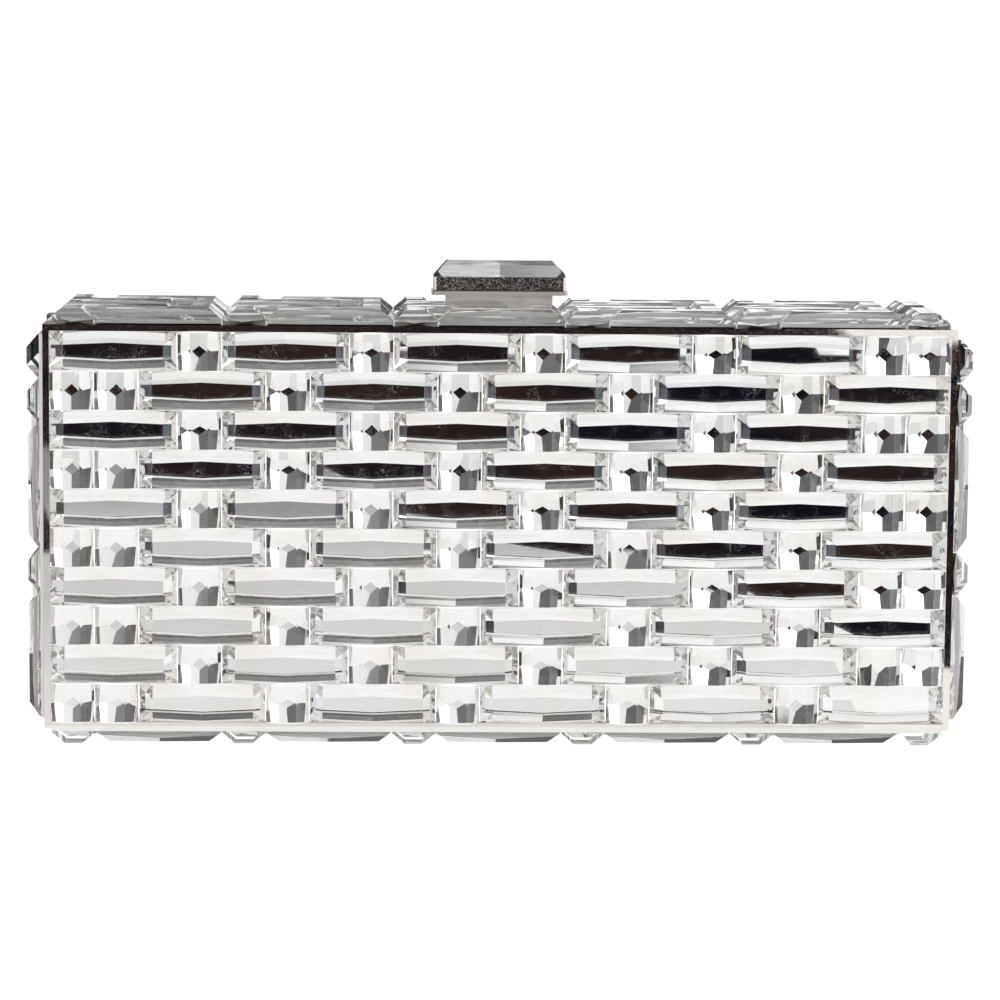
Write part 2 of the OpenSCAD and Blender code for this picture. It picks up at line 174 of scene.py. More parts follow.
class StoneSizes(bpy.types.PropertyGroup):
    long_length: FloatProperty(
        name="Long crystal", description="Length of a long crystal", default=0.0254, unit="LENGTH", precision=4
    )
    short_length: FloatProperty(
        name="Short crystal", description="Length of a short crystal", default=0.0087, unit="LENGTH", precision=4
    )
    width: FloatProperty(
        name="Width", description="Width of every crystal across its row", default=0.00774, unit="LENGTH", precision=5
    )
    gap: FloatProperty(
        name="Gap", description="Gap between neighbouring crystals", default=0.0002, unit="LENGTH", precision=5
    )
    girdle: FloatProperty(
        name="Girdle", description="Height of the straight girdle", default=0.0011, unit="LENGTH", precision=4
    )
    crown: FloatProperty(
        name="Crown", description="Height of the cut crown above the girdle", default=0.0022, unit="LENGTH", precision=4
    )
    end_bevel: FloatProperty(
        name="End bevel", description="Inset of the table at the ends", default=0.0026, unit="LENGTH", precision=4
    )
    side_bevel: FloatProperty(
        name="Side bevel", description="Inset of the table along the sides", default=0.002, unit="LENGTH", precision=4
    )
    long_bow: FloatProperty(
        name="Long bow",
        description="Angle by which the two side facets of a long crystal meet",
        default=math.radians(2.6),
        subtype="ANGLE",
    )
    long_slope: FloatProperty(
        name="Long foil slope",
        description="Slope of the foiled facets under a long crystal",
        default=math.radians(4),
        subtype="ANGLE",
    )
    short_slope: FloatProperty(
        name="Short foil slope",
        description="Slope of the foiled facets under a short crystal",
        default=math.radians(10),
        subtype="ANGLE",
    )
    seat: FloatProperty(
        name="Seat",
        description="Thickness of the cement between the foil and the metal",
        default=0.00003,
        unit="LENGTH",
        precision=5,
    )
    tilt: FloatProperty(
        name="Tilt", description="Most that a hand-set crystal leans", default=math.radians(0.35), subtype="ANGLE"
    )


class CaseSizes(bpy.types.PropertyGroup):
    face_rows: IntProperty(name="Face rows", description="Rows of crystals on each face", default=10, min=1)
    row_longs: IntProperty(name="Long crystals", description="Long crystals in each row", default=5, min=1)
    edge_rows: IntProperty(name="Edge rows", description="Rows of crystals on the edge of each shell", default=2, min=1)
    side_longs: IntProperty(name="Side crystals", description="Long crystals in each side column", default=2, min=1)
    rim: FloatProperty(
        name="Rim", description="Width of the rim round each face", default=0.0013, unit="LENGTH", precision=4
    )
    bed: FloatProperty(
        name="Bed", description="Depth of the bed behind the rim", default=0.0009, unit="LENGTH", precision=4
    )


class Finishes(bpy.types.PropertyGroup):
    glass: FloatVectorProperty(
        name="Crystal", description="Tint of the crystals", default=(0.985, 0.99, 0.99), subtype="COLOR", size=3
    )
    foil: FloatVectorProperty(
        name="Foil",
        description="Colour of the silver foil behind the crystals",
        default=(0.87, 0.87, 0.87),
        subtype="COLOR",
        size=3,
    )
    nickel: FloatVectorProperty(
        name="Nickel", description="Polished pale nickel", default=(0.8, 0.76, 0.72), subtype="COLOR", size=3
    )
    steel: FloatVectorProperty(
        name="Steel",
        description="Brushed steel of the latch",
        default=(0.62, 0.62, 0.62),
        subtype="COLOR",
        size=3,
    )
    satin: FloatVectorProperty(
        name="Satin",
        description="Silver grey satin of the lining",
        default=(0.36, 0.37, 0.39),
        subtype="COLOR",
        size=3,
    )


class StageSizes(bpy.types.PropertyGroup):
    floor_z: FloatProperty(
        name="Floor",
        description="Height of the floor, under the open shell",
        default=-0.0215,
        unit="LENGTH",
        precision=4,
    )
    floor_size: FloatProperty(name="Floor width", description="Width of the floor", default=12, unit="LENGTH")


# Shader maths as Python expressions


class Socket:
    """A shader value on which Python's operators work."""

    def __init__(self, graph, link):
        self.graph = graph
        self.link = link

    def _maths(self, operation, *values):
        return self.graph.add("ShaderNodeMath", {"operation": operation}, dict(enumerate(values)))

    def __add__(self, other):
        return self._maths("ADD", self, other)

    __radd__ = __add__

    def __sub__(self, other):
        return self._maths("SUBTRACT", self, other)

    def __rsub__(self, other):
        return self._maths("SUBTRACT", other, self)

    def __mul__(self, other):
        return self._maths("MULTIPLY", self, other)

    __rmul__ = __mul__

    def __truediv__(self, other):
        return self._maths("DIVIDE", self, other)

    def __abs__(self):
        return self._maths("ABSOLUTE", self)

    def rise(self, low, high):
        """0 below low, 1 above high and smooth between them."""
        return self.graph.add(
            "ShaderNodeMapRange",
            {"interpolation_type": "SMOOTHSTEP"},
            {"Value": self, "From Min": low, "From Max": high, "To Min": 0.0, "To Max": 1.0},
        )

    def part(self, index):
        """One component of a vector."""
        split = self.graph.add("ShaderNodeSeparateXYZ", {}, {"Vector": self})
        return Socket(self.graph, split.link.node.outputs[index])


class Graph:
    """The nodes of one material or world."""

    def __init__(self, owner):
        owner.use_nodes = True
        self.tree = owner.node_tree
        self.tree.nodes.clear()

    def add(self, kind, settings, values, output=0):
        """A new node with these settings and inputs, and one of its outputs."""
        node = self.tree.nodes.new(kind)
        for key, value in settings.items():
            setattr(node, key, value)
        for key, value in values.items():
            slot = node.inputs[key]
            if isinstance(value, Socket):
                self.tree.links.new(value.link, slot)
            elif hasattr(slot.default_value, "__len__") and hasattr(value, "__len__"):
                slot.default_value = (*value, 1)[: len(slot.default_value)]
            else:
                slot.default_value = value
        return Socket(self, node.outputs[output])

    def place(self, scale=(1, 1, 1)):
        """Object coordinates in millimetres, stretched by scale."""
        spot = self.add("ShaderNodeTexCoord", {}, {}, "Object")
        return self.add("ShaderNodeMapping", {}, {"Vector": spot, "Scale": [v / MM for v in scale]})

    def noise(self, where, scale, detail):
        return self.add("ShaderNodeTexNoise", {}, {"Vector": where, "Scale": scale, "Detail": detail})

    def mix(self, share, first, second):
        """Two colours, mixed by share."""
        return self.add("ShaderNodeMix", {"data_type": "RGBA"}, {0: share, 6: first, 7: second}, 2)

    def bump(self, height, strength, distance):
        return self.add(
            "ShaderNodeBump", {}, {"Height": height, "Strength": strength, "Distance": distance * MM}
        )

    def principled(self, values):
        return self.add("ShaderNodeBsdfPrincipled", {}, values)

    def output(self, shader, kind="ShaderNodeOutputMaterial"):
        node = self.tree.nodes.new(kind)
        self.tree.links.new(shader.link, node.inputs["Surface"])


def new_material(name):
    material = bpy.data.materials.new(name)
    return material, Graph(material)


def dress(obj, *materials):
    obj.data.materials.clear()
    for material in materials:
        obj.data.materials.append(material)


# Finishes


def crystal_glass():
    colours = bpy.context.scene.minaudiere_finishes
    material, graph = new_material("clear_crystal")
    spot = graph.place()
    smear = graph.noise(spot, 0.35, 3.0)
    shader = graph.principled(
        {
            "Base Color": (*colours.glass, 1),
            "Roughness": smear.rise(0.55, 0.85) * 0.02,
            "IOR": 1.55,
            "Transmission Weight": 1.0,
        }
    )
    graph.output(shader)
    return material


def silver_foil(name, streaks, shade=1.0):
    """Mirror foil with fine specks, and with dark streaks as strong as streaks. Shade darkens the whole foil, as
    painted shade.
    """
    colours = bpy.context.scene.minaudiere_finishes
    material, graph = new_material(name)
    spot = graph.place()
    specks = graph.noise(spot, 7.0, 1.0).rise(0.63, 0.73)
    clouds = graph.noise(spot, 0.25, 2.0).rise(0.42, 0.65)
    lines = graph.noise(graph.place((0.25, 2.2, 2.2)), 1.0, 3.0).rise(0.45, 0.8)
    silver = [v * shade for v in colours.foil]
    warm = [v * s for v, s in zip(silver, (1.0, 0.97, 0.93))]
    tint = graph.mix(graph.noise(spot, 0.09, 1.0).rise(0.4, 0.65), silver, warm)
    shader = graph.principled(
        {
            "Base Color": graph.mix(lines * streaks, tint, [v * 0.45 for v in silver]),
            "Metallic": 1.0,
            "Roughness": specks * clouds * 0.3 + lines * 0.02 + 0.01,
        }
    )
    graph.output(shader)
    return material


def cement(name, glow):
    """Pale cement that glows a little, for the light that the crystals pass on to it."""
    material, graph = new_material(name)
    grain = graph.noise(graph.place(), 2.0, 3.0)
    shader = graph.principled(
        {
            "Base Color": graph.mix(grain, (0.8, 0.8, 0.79), (0.9, 0.9, 0.89)),
            "Roughness": 0.6,
            "Emission Color": (1, 1, 1, 1),
            "Emission Strength": glow,
        }
    )
    graph.output(shader)
    return material


def nickel(name, roughness, speckle, scratch, share=0.6):
    """Nickel plate: speckle roughens its specks, which are rarer with a higher share."""
    colours = bpy.context.scene.minaudiere_finishes
    material, graph = new_material(name)
    spot = graph.place()
    dust = graph.noise(spot, 7.0, 2.0).rise(share, share + 0.1)
    haze = graph.noise(spot, 0.25, 3.0).rise(0.4, 0.75)
    hairs = graph.noise(graph.place((0.5, 14.0, 14.0)), 1.0, 2.0)
    pale = colours.nickel
    warm = [v * s for v, s in zip(pale, (0.93, 0.9, 0.86))]
    shader = graph.principled(
        {
            "Base Color": graph.mix(haze * 0.5, pale, warm),
            "Metallic": 1.0,
            "Roughness": dust * speckle + haze * 0.02 + roughness,
            "Normal": graph.bump(hairs, scratch, 0.02),
        }
    )
    graph.output(shader)
    return material


def brushed_steel():
    colours = bpy.context.scene.minaudiere_finishes
    material, graph = new_material("brushed_steel")
    grain = graph.noise(graph.place((0.3, 9.0, 9.0)), 1.0, 3.0)
    shader = graph.principled(
        {
            "Base Color": graph.mix(grain, [v * 0.85 for v in colours.steel], colours.steel),
            "Metallic": 1.0,
            "Roughness": grain * 0.2 + 0.25,
            "Normal": graph.bump(grain, 0.3, 0.03),
        }
    )
    graph.output(shader)
    return material


def satin():
    colours = bpy.context.scene.minaudiere_finishes
    material, graph = new_material("grey_satin")
    weave = graph.add(
        "ShaderNodeTexWave",
        {"bands_direction": "X"},
        {"Vector": graph.place(), "Scale": 1.6, "Distortion": 0.4, "Detail": 1.0},
    )
    # Painted shade and sheen of folds: the colour is mixed between a darker and a paler copy of the satin in broad soft
    # patches.
    fold_shade = graph.noise(graph.place((1.0, 1.0, 0.3)), 0.08, 2.0)
    dark = [v * 0.8 for v in colours.satin]
    pale = [min(1, v * 1.2) for v in colours.satin]
    shader = graph.principled(
        {
            "Base Color": graph.mix(fold_shade, dark, pale),
            "Roughness": weave * 0.1 + 0.38,
            "Sheen Weight": 0.4,
            "Sheen Roughness": 0.35,
            "Normal": graph.bump(weave, 0.15, 0.05),
        }
    )
    graph.output(shader)
    return material


# Cutting and placing the crystals


def solo(obj):
    """Select this object alone."""
    bpy.ops.object.select_all(action="DESELECT")
    obj.select_set(True)
    bpy.context.view_layer.objects.active = obj


def block(name, size, centre):
    bpy.ops.object.select_all(action="DESELECT")
    bpy.ops.mesh.primitive_cube_add(size=1, location=centre, scale=size)
    obj = bpy.context.object
    obj.name = name
    bpy.ops.object.transform_apply(location=True, rotation=True, scale=True)
    return obj


def cut(point, normal):
    """Grind one facet of the stone in edit mode: what lies beyond the plane goes, and the stone is closed again."""
    bpy.ops.mesh.select_all(action="SELECT")
    bpy.ops.mesh.bisect(plane_co=point, plane_no=normal, clear_outer=True, threshold=TOUCH)
    bpy.ops.mesh.select_all(action="SELECT")
    bpy.ops.mesh.convex_hull(use_existing_faces=False, join_triangles=False)
    bpy.ops.mesh.select_all(action="SELECT")
    bpy.ops.mesh.remove_doubles(threshold=TOUCH)


def polish():
    """Give the stone in edit mode one face for each facet, all facing outwards, and leave edit mode."""
    bpy.ops.mesh.select_all(action="SELECT")
    bpy.ops.mesh.dissolve_limited(angle_limit=FACET_ANGLE)
    bpy.ops.mesh.normals_make_consistent(inside=False)
    bpy.ops.object.mode_set(mode="OBJECT")


def side_facets(sizes):
    """Two facets on each side of a long crystal, which meet at a blunt angle in the middle."""
    height = sizes.girdle + sizes.crown
    table = sizes.width / 2 - sizes.side_bevel
    slope = sizes.side_bevel / sizes.crown
    for side in (-1, 1):
        for turn in (-sizes.long_bow, sizes.long_bow):
            spin = Matrix.Rotation(turn, 3, "Z")
            cut(spin @ Vector((0, side * table, height)), spin @ Vector((0, side, slope)))


def corner_facets(length, sizes):
    """A kite at each corner, from the girdle to points on the two edges of the table."""
    along, across = KITE
    width, bow = sizes.width, sizes.long_bow
    height = sizes.girdle + sizes.crown
    x = length / 2 - sizes.end_bevel
    y = (width / 2 - sizes.side_bevel) / math.cos(bow) - x * math.tan(bow)
    drop = (width / 2 - y + (length / 2 - x) * math.tan(bow)) * sizes.crown / sizes.side_bevel
    foot = Vector((length / 2, width / 2, height - drop))
    first = Vector((x - along, y + along * math.tan(bow), height))
    second = Vector((x, y - across, height))
    normal = (first - foot).cross(second - foot)
    for end in (-1, 1):
        for side in (-1, 1):
            flip = Vector((end, side, 1))
            way = normal * flip
            if way.z < 0:
                way = -way
            cut(foot * flip, way)


def scissor_facets(length, sizes):
    """Four crown facets from the corners of the girdle to a diamond-shaped table."""
    height = sizes.girdle + sizes.crown
    foot = Vector((length / 2, sizes.width / 2, sizes.girdle))
    tip = Vector((length / 2 - sizes.end_bevel, 0, height))
    top = Vector((0, DIAMOND, height))
    normal = (tip - foot).cross(top - foot)
    for end in (-1, 1):
        for side in (-1, 1):
            flip = Vector((end, side, 1))
            way = normal * flip
            if way.z < 0:
                way = -way
            cut(foot * flip, way)


def cut_stone(name, length, foil_facets, long):
    """One cut crystal on z = 0, table up: crown facets, then foiled facets underneath."""
    sizes = bpy.context.scene.minaudiere_stones
    height = sizes.girdle + sizes.crown
    low = sizes.seat
    stone = block(name, (length, sizes.width, height - low), (0, 0, (height + low) / 2))
    solo(stone)
    bpy.ops.object.mode_set(mode="EDIT")
    for end in (-1, 1):
        cut((end * length / 2, 0, sizes.girdle), (end * sizes.crown, 0, sizes.end_bevel))
    if long:
        side_facets(sizes)
        corner_facets(length, sizes)
    else:
        scissor_facets(length, sizes)
    for turn, slope, reach in foil_facets:
        way = Vector((math.cos(math.radians(turn)), math.sin(math.radians(turn)), 0))
        normal = way * math.sin(slope) - Vector((0, 0, math.cos(slope)))
        cut(way * reach + Vector((0, 0, low)), normal)
    polish()
    return stone


def facet_finish(stone, glass, foil, girdle):
    """The crown is clear, the facets that look down are foiled, and the girdle has its own finish."""
    dress(stone, glass, foil, girdle)
    for face in stone.data.polygons:
        face.material_index = 0 if face.normal.z > FACING else 1 if face.normal.z < -FACING else 2
        face.use_smooth = False


def row_kinds(pattern, longs):
    """1 for a long crystal and 0 for a short one, along a row."""
    if pattern == "alternating":
        return [i % 2 for i in range(2 * longs + 1)]
    if pattern == "long_first":
        return [1 - i % 2 for i in range(2 * longs)] + [0]
    return [0] + [1 - i % 2 for i in range(1, 2 * longs + 1)]


def row_places(kinds, sizes):
    """(kind, distance from the row's middle) of each crystal."""
    pitches = [(sizes.long_length if kind else sizes.short_length) + sizes.gap for kind in kinds]
    start = -sum(pitches) / 2
    places = []
    for kind, pitch in zip(kinds, pitches):
        places.append((kind, start + pitch / 2))
        start += pitch
    return places


def frame_of(origin, along, outward):
    """A crystal's frame: its length along one direction and its table towards another."""
    x = Vector(along).normalized()
    z = Vector(outward).normalized()
    y = z.cross(x)
    turn = Matrix((x, y, z)).transposed().to_4x4()
    return Matrix.Translation(origin) @ turn


def crystal_layout():
    """{(body, side): [(kind, matrix)]} for all the crystals, from the case's sizes."""
    sizes = bpy.context.scene.minaudiere_stones
    case = bpy.context.scene.minaudiere_case
    pitch = sizes.width + sizes.gap
    shell_low, shell_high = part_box("front_shell")
    half_width = shell_high.x
    low_z, high_z = shell_low.z, shell_high.z
    mid_z = (low_z + high_z) / 2
    outer_y = -shell_low.y
    bed_y = outer_y - case.bed
    layout = {}

    def put(side, kinds, origin, along, outward):
        for kind, offset in row_places(kinds, sizes):
            spot = Vector(origin) + Vector(along) * offset
            for body, flip in (("front", 1), ("back", -1)):
                mirror = Matrix.Diagonal((1, flip, 1))
                layout.setdefault((body, side), []).append(
                    (kind, frame_of(mirror @ spot, along, mirror @ Vector(outward)))
                )

    for r in range(case.face_rows):
        kinds = row_kinds("long_last" if r % 2 else "long_first", case.row_longs)
        put("face", kinds, (0, -bed_y, high_z - case.rim - (r + 0.5) * pitch), (1, 0, 0), (0, -1, 0))
    for r in range(case.edge_rows):
        y = -(outer_y - case.rim - (r + 0.5) * pitch)
        kinds = row_kinds("long_first" if r % 2 else "alternating", case.row_longs)
        put("top", kinds, (0, y, high_z), (1, 0, 0), (0, 0, 1))
        put("base", kinds, (0, y, low_z), (1, 0, 0), (0, 0, -1))
        kinds = row_kinds("alternating" if r % 2 else "long_last", case.side_longs)
        put("right", kinds, (half_width, y, mid_z), (0, 0, -1), (1, 0, 0))
        put("left", kinds, (-half_width, y, mid_z), (0, 0, -1), (-1, 0, 0))
    return layout


def set_stones(name, masters, places, rng, lean, turned=True):
    """Copies of the cut crystals in their places, joined into one piece."""
    copies = []
    for place in places:
        master = rng.choice(masters)
        copy = master.copy()
        copy.data = master.data.copy()
        bpy.context.scene.collection.objects.link(copy)
        tip = Matrix.Rotation(rng.uniform(-lean, lean), 4, "X")
        tip = tip @ Matrix.Rotation(rng.uniform(-lean, lean) / 3, 4, "Y")
        turn = Matrix.Rotation(math.pi * rng.randint(0, 1), 4, "Z") if turned else Matrix()
        copy.matrix_world = place @ tip @ turn
        copies.append(copy)
    bpy.ops.object.select_all(action="DESELECT")
    for copy in copies:
        copy.select_set(True)
    bpy.context.view_layer.objects.active = copies[0]
    bpy.ops.object.join()
    piece = bpy.context.object
    piece.name = name
    piece.data.name = name
    bpy.ops.object.transform_apply(location=True, rotation=True, scale=True)
    return piece


# Operators, one for each piece or group of like pieces


class MINAUDIERE_OT_camera(bpy.types.Operator):
    """Put the camera where the photograph was taken"""

    bl_idname = "minaudiere.camera"
    bl_label = "Camera"

    def execute(self, context):
        yaw, pitch, roll = (math.radians(v) for v in CAMERA_ANGLES)
        level = math.cos(pitch)
        ahead = Vector((-math.sin(yaw) * level, math.cos(yaw) * level, math.sin(pitch)))
        right = Vector((math.cos(yaw), math.sin(yaw), 0))
        up = right.cross(ahead)
        right, up = right * math.cos(roll) + up * math.sin(roll), up * math.cos(roll) - right * math.sin(roll)
        data = bpy.data.cameras.new("camera")
        data.sensor_width = CAMERA_SENSOR
        data.sensor_fit = "HORIZONTAL"
        data.lens = CAMERA_LENS
        data.clip_start = 0.01
        data.clip_end = 50
        camera = bpy.data.objects.new("camera", data)
        context.scene.collection.objects.link(camera)
        turn = Matrix((right, up, -ahead)).transposed().to_4x4()
        camera.matrix_world = Matrix.Translation(CAMERA_PLACE) @ turn
        context.scene.camera = camera
        return {"FINISHED"}


class MINAUDIERE_OT_crystals(bpy.types.Operator):
    """Cut the long and the short crystal and set them in rows on both shells"""

    bl_idname = "minaudiere.crystals"
    bl_label = "Crystals"

    def execute(self, context):
        sizes = context.scene.minaudiere_stones
        glass = crystal_glass()
        foil = silver_foil("silver_foil", streaks=0.06)
        paste = cement("lit_cement", glow=0.5)
        streaky = silver_foil("streaky_foil", streaks=0.6)
        end_reach = sizes.long_length / 2 - END_FOIL
        long_foil = [(turn, sizes.long_slope, end_reach) for turn in (0, 180)]
        long_foil += [(turn, sizes.long_slope, SIDE_FOIL) for turn in SIDE_TURNS]
        short_foil = [[(turn, sizes.short_slope * part, reach) for turn, part, reach in cuts] for cuts in SHORT_FOIL]
        masters = {}
        for place, girdle, back in (("face", paste, foil), ("edge", glass, streaky)):
            longs = [cut_stone(f"{place}_long", sizes.long_length, long_foil, True)]
            shorts = [cut_stone(f"{place}_short", sizes.short_length, facets, False) for facets in short_foil]
            for stone in longs + shorts:
                facet_finish(stone, glass, back, girdle)
            masters[place, 1], masters[place, 0] = longs, shorts
        rng = random.Random(SEED)
        for (body, side), stones in crystal_layout().items():
            for kind, word in ((1, "long"), (0, "short")):
                places = [place for k, place in stones if k == kind]
                choice = masters["face" if side == "face" else "edge", kind]
                piece = set_stones(f"{body}_{side}_{word}_stones", choice, places, rng, sizes.tilt)
                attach(piece, body)
                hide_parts(f"{body}_{side}_{word}_crystals")
        for group in masters.values():
            for master in group:
                bpy.data.objects.remove(master)
        return {"FINISHED"}


class MINAUDIERE_OT_cement(bpy.types.Operator):
    """Fill the gaps between the crystals with pale cement"""

    bl_idname = "minaudiere.cement"
    bl_label = "Cement"

    def execute(self, context):
        sizes = context.scene.minaudiere_stones
        paste = cement("joint_cement", glow=0.1)
        high = sizes.girdle * JOINT_FILL
        joints = {}
        for kind, length in ((1, sizes.long_length), (0, sizes.short_length)):
            pitch, row_pitch = length + sizes.gap, sizes.width + sizes.gap
            joints[kind] = (
                block("end_joint", (sizes.gap, sizes.width, high), (pitch / 2, 0, high / 2)),
                block("row_joint", (pitch, sizes.gap, high), (0, row_pitch / 2, high / 2)),
            )
        rng = random.Random(SEED)
        layout = crystal_layout()
        for body in ("front", "back"):
            pieces = []
            for (owner, side), stones in layout.items():
                if owner == body:
                    for kind in (0, 1):
                        places = [place for k, place in stones if k == kind]
                        for joint in joints[kind]:
                            pieces.append(set_stones(f"{side}_joint", [joint], places, rng, 0, False))
            bpy.ops.object.select_all(action="DESELECT")
            for piece in pieces:
                piece.select_set(True)
            context.view_layer.objects.active = pieces[0]
            bpy.ops.object.join()
            piece = context.object
            piece.name = f"{body}_cement"
            dress(piece, paste)
            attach(piece, body)
        for pair in joints.values():
            for joint in pair:
                bpy.data.objects.remove(joint)
        return {"FINISHED"}


class MINAUDIERE_OT_bar(bpy.types.Operator):
    """Cut the crystal bar on top of the clasp"""

    bl_idname = "minaudiere.bar"
    bl_label = "Crystal bar"

    def execute(self, context):
        glass = bpy.data.materials["clear_crystal"]
        # The bar's foil is a darker copy of the same foil: painted shade for the dark look of the bar.
        foil = silver_foil("bar_foil", streaks=1.0, shade=0.6)
        seat_low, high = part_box("clasp_crystal")
        bezel_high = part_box("clasp_bezel")[1].z
        middle = (seat_low + high) / 2
        length, width = high.x - seat_low.x, high.y - seat_low.y
        low = bezel_high + BAR_SEAT
        centre = (middle.x, middle.y, (high.z + low) / 2)
        bar = block("clasp_crystal_bar", (length, width, high.z - low), centre)
        solo(bar)
        bpy.ops.object.mode_set(mode="EDIT")
        foot_z = bezel_high + BAR_GIRDLE
        crown = high.z - bezel_high - BAR_GIRDLE
        table_y = width / 2 - BAR_SIDE_INSET
        for side in (-1, 1):
            for turn in (-BAR_BOW, BAR_BOW):
                spin = Matrix.Rotation(turn, 3, "Z")
                at = spin @ Vector((0, side * table_y, 0))
                point = middle + Vector((at.x, at.y, high.z - middle.z))
                cut(point, spin @ Vector((0, side, BAR_SIDE_INSET / crown)))
            cut((middle.x + side * length / 2, middle.y, foot_z), (side * crown, 0, BAR_END_INSET))
        polish()
        facet_finish(bar, glass, foil, glass)
        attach(bar, "clasp")
        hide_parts("clasp_crystal")
        return {"FINISHED"}


class MINAUDIERE_OT_lining(bpy.types.Operator):
    """Pad each shell with grey satin, pulled in where it is glued along its edges"""

    bl_idname = "minaudiere.lining"
    bl_label = "Lining"

    def execute(self, context):
        cloth = satin()
        for body in ("front", "back"):
            low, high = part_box(f"{body}_lining")
            middle, size = (low + high) / 2, high - low
            pad = block(f"{body}_satin_lining", size - Vector((2, 2, 2)) * LINING_SLACK * MM, middle)
            solo(pad)
            mouth = 1 if body == "front" else -1
            bpy.ops.object.mode_set(mode="EDIT")
            bpy.ops.mesh.select_all(action="DESELECT")
            bpy.ops.object.mode_set(mode="OBJECT")
            for face in pad.data.polygons:
                face.select = face.normal.y * mouth > 0.9
            bpy.ops.object.mode_set(mode="EDIT")
            bpy.ops.mesh.inset(thickness=LINING_WALL * MM)
            depth = size.y - (LINING_WALL + LINING_SLACK + LINING_FLOOR) * MM
            bpy.ops.mesh.extrude_region_move(TRANSFORM_OT_translate={"value": (0, -mouth * depth, 0)})
            for axis in (0, 2, 1):
                extent = size[axis]
                count = int(extent / MM / LINING_MESH)
                normal = [0, 0, 0]
                normal[axis] = 1
                for i in range(1, count):
                    spot = list(middle)
                    spot[axis] = low[axis] + extent * i / count
                    bpy.ops.mesh.select_all(action="SELECT")
                    bpy.ops.mesh.bisect(plane_co=spot, plane_no=normal, threshold=TOUCH)
            bpy.ops.object.mode_set(mode="OBJECT")
            self.pull_in(pad, low, high, mouth)
            smooth = pad.modifiers.new("soft", "SUBSURF")
            smooth.levels = smooth.render_levels = 1
            solo(pad)
            bpy.ops.object.modifier_apply(modifier=smooth.name)
            bpy.ops.object.shade_smooth_by_angle(angle=math.radians(50))
            dress(pad, cloth)
            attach(pad, body)
            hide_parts(f"{body}_lining")
        return {"FINISHED"}

    def pull_in(self, pad, low, high, mouth):
        """The padded floor rises between its glued edges, and small puckers run in from them."""
        rng = random.Random(SEED)
        waves = [(rng.uniform(0.7, 1.6), rng.uniform(0, math.tau)) for i in range(6)]
        floor_y = low.y if mouth > 0 else high.y
        for vertex in pad.data.vertices:
            co = vertex.co
            depth = abs(co.y - floor_y)
            edge = min(co.x - low.x, high.x - co.x, co.z - low.z, high.z - co.z) / MM
            if LINING_SLACK * MM < depth < PAD_DEPTH * MM and edge > LINING_WALL:
                rise = min(1, (edge - LINING_WALL) / PAD_REACH)
                along = (co.x + co.z) / MM
                pucker = sum(math.sin(along * pace + turn) for pace, turn in waves) / len(waves)
                lift = PAD_RISE * math.sqrt(rise * (2 - rise)) + pucker * PUCKER_RISE * math.exp(-edge / PUCKER_REACH)
                co.y += mouth * lift * MM


class MINAUDIERE_OT_metal(bpy.types.Operator):
    """Finish the shells, frames, hinge, clasp and latch"""

    bl_idname = "minaudiere.metal"
    bl_label = "Metal"

    def execute(self, context):
        shell = nickel("polished_shell", roughness=0.01, speckle=0.15, scratch=0.01, share=0.58)
        rail = nickel("polished_frame", roughness=0.08, speckle=0.15, scratch=0.12)
        clasp = nickel("clasp_nickel", roughness=0.04, speckle=0.35, scratch=0.04, share=0.55)
        hinge = nickel("satin_hinge", roughness=0.22, speckle=0.15, scratch=0.2)
        plate = nickel("satin_plate", roughness=0.3, speckle=0.15, scratch=0.2)
        steel = brushed_steel()
        finish = {
            "polished_shell": shell,
            "polished_frame": rail,
            "clasp_metal": clasp,
            "hinge_metal": hinge,
            "latch_metal": steel,
        }
        for part in frame["record"]["subparts"]:
            material = finish.get(part["material_slot"])
            if material:
                dress(frame["nodes"][part["node"]], material)
        dress(frame["nodes"]["clasp_base"], plate)
        spring = bpy.data.objects.new("return_spring", frame["nodes"]["latch_spring"].data.copy())
        context.scene.collection.objects.link(spring)
        dress(spring, steel)
        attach(spring, "back")
        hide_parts("latch_spring")
        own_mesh(spring)
        return {"FINISHED"}


